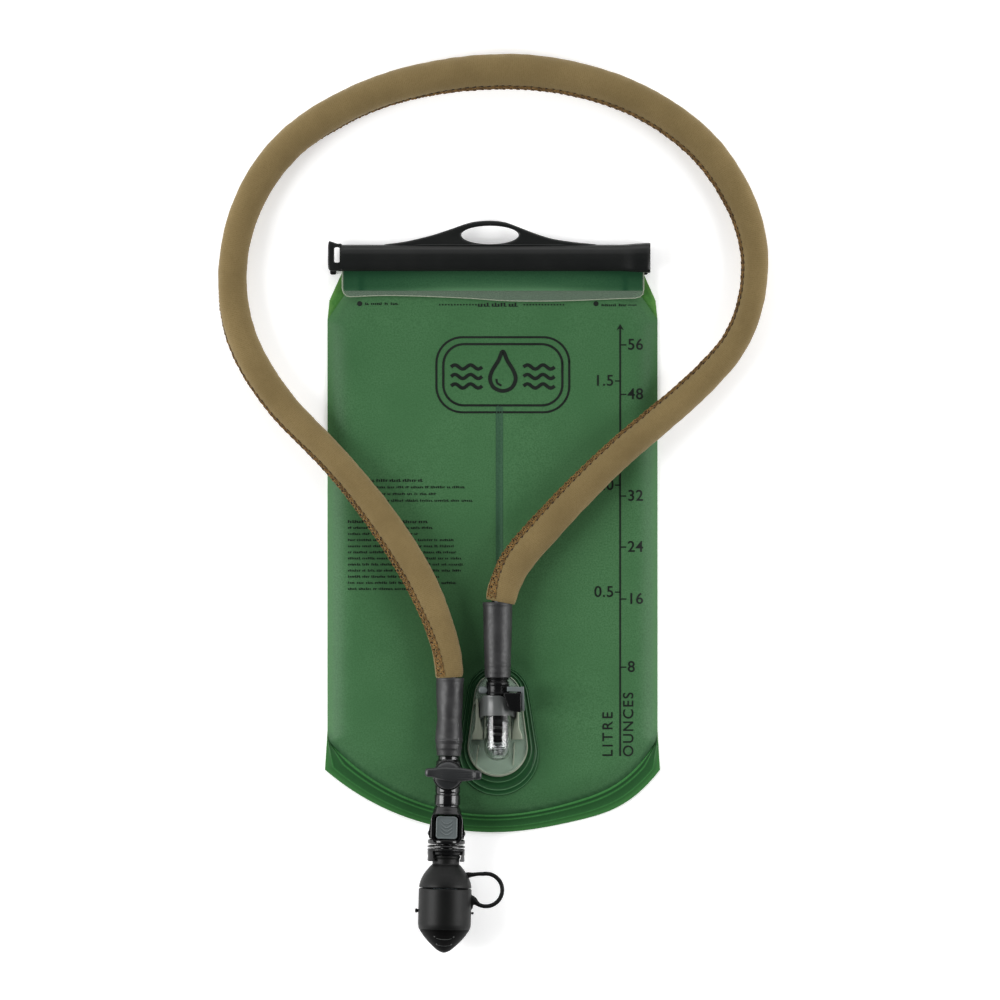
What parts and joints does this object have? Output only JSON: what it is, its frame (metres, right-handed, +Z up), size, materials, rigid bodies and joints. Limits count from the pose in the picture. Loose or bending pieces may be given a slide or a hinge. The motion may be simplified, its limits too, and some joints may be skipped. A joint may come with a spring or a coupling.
{
  "type": "hydration bladder",
  "caption": "Flat welded water bladder with a slide-on mouth closure, an outlet port on its front, and an insulated drinking hose with shut-off, quick coupler and capped bite valve.",
  "frame": {"origin": "middle of the floor under the bladder without its hose, which lies flat on its back", "axes": "+Y to the mouth and the handle, +Z up out of the front film, +X to the right seen from the front"},
  "size_m": [0.3216, 0.5198, 0.032],
  "materials": {
    "film_green": "satin translucent polyurethane film",
    "film_gusset": "satin welded film, darker where it is doubled",
    "clear_film": "hazy clear film",
    "clear_plastic": "clear moulded plastic",
    "frosted_plastic": "frosted plastic",
    "black_plastic": "fine-grained black moulding",
    "gloss_black": "polished black moulding",
    "grey_plastic": "slate grey moulding",
    "sleeve_fabric": "coyote tan knitted fabric on foam rubber",
    "hose_rubber": "smooth drinking hose",
    "heat_shrink": "matt shrunk tubing",
    "cover_rubber": "soft matt black rubber",
    "silicone": "soft silicone",
    "seal_rubber": "seal rubber",
    "spring_steel": "stainless spring steel"
  },
  "bodies": {
    "bladder": {"back_panel": "film_green", "front_panel": "film_green", "bottom_gusset": "film_gusset", "centre_baffle": "film_gusset", "closure_rail": "black_plastic", "mouth_flap": "film_gusset", "mouth_rim": "clear_film", "port_weld_ring": "film_gusset", "port_flange": "clear_plastic", "port_housing": "frosted_plastic", "port_capsule": "clear_plastic", "port_latch_spring": "spring_steel", "port_spring": "spring_steel"},
    "closure": {"closure_slider": "black_plastic"},
    "port_latch": {"port_latch_plate": "grey_plastic", "port_latch_button": "gloss_black"},
    "port_poppet": {"port_poppet": "frosted_plastic"},
    "drink_line": {"hose_plug": "gloss_black", "plug_o_ring_1": "seal_rubber", "plug_o_ring_2": "seal_rubber", "hose_tube": "hose_rubber", "hose_sleeve": "sleeve_fabric", "port_collar": "heat_shrink", "valve_collar": "heat_shrink", "shutoff_body": "gloss_black", "coupler_socket": "gloss_black", "coupler_spring": "spring_steel"},
    "shutoff": {"shutoff_spool": "gloss_black", "spool_o_ring": "seal_rubber", "shutoff_lever": "grey_plastic"},
    "coupler_release": {"coupler_button": "grey_plastic", "coupler_latch": "spring_steel"},
    "bite_valve": {"coupler_plug": "gloss_black", "coupler_o_ring": "seal_rubber", "snap_collar": "gloss_black"},
    "bite_cover": {"cover_base": "cover_rubber", "mouthpiece": "silicone", "tether_ring": "cover_rubber"},
    "cap": {"cover_cap": "cover_rubber"}
  },
  "joints": [
    {"name": "closure_slide", "type": "slide", "parent": "bladder", "child": "closure", "axis": [-1, 0, 0], "range_m": [0, 0.044]},
    {"name": "hose_plug_pull", "type": "slide", "parent": "bladder", "child": "drink_line", "axis": [0, 1, 0], "range_m": [0, 0.018]},
    {"name": "port_latch_press", "type": "slide", "parent": "bladder", "child": "port_latch", "axis": [-1, 0, 0], "range_m": [0, 0.002], "stiffness_N_per_m": 300, "deforming": ["port_latch_spring"]},
    {"name": "poppet_close", "type": "slide", "parent": "bladder", "child": "port_poppet", "axis": [0, 1, 0], "range_m": [0, 0.003], "deforming": ["port_spring"]},
    {"name": "shutoff_turn", "type": "hinge", "parent": "drink_line", "child": "shutoff", "pos_m": [-0.02577, -0.14398, 0.0167], "axis": [0, 0, 1], "range_deg": [0, 90]},
    {"name": "coupler_press", "type": "slide", "parent": "drink_line", "child": "coupler_release", "axis": [0, 0, -1], "range_m": [0, 0.0015], "stiffness_N_per_m": 300, "deforming": ["coupler_spring"]},
    {"name": "bite_valve_release", "type": "slide", "parent": "drink_line", "child": "bite_valve", "axis": [-0.0241, -0.9997, 0], "range_m": [0, 0.016]},
    {"name": "bite_valve_twist", "type": "hinge", "parent": "bite_valve", "child": "bite_cover", "pos_m": [-0.0272, -0.20327, 0.0167], "axis": [-0.0241, -0.9997, 0], "range_deg": [0, 90]},
    {"name": "cap_pull", "type": "slide", "parent": "bite_cover", "child": "cap", "axis": [-0.0241, -0.9997, 0], "range_m": [0, 0.022], "deforming": ["tether_ring"]}
  ],
  "couplings": [
    {"joint": "poppet_close", "follows": "hose_plug_pull", "ratio": 0.16667}
  ]
}
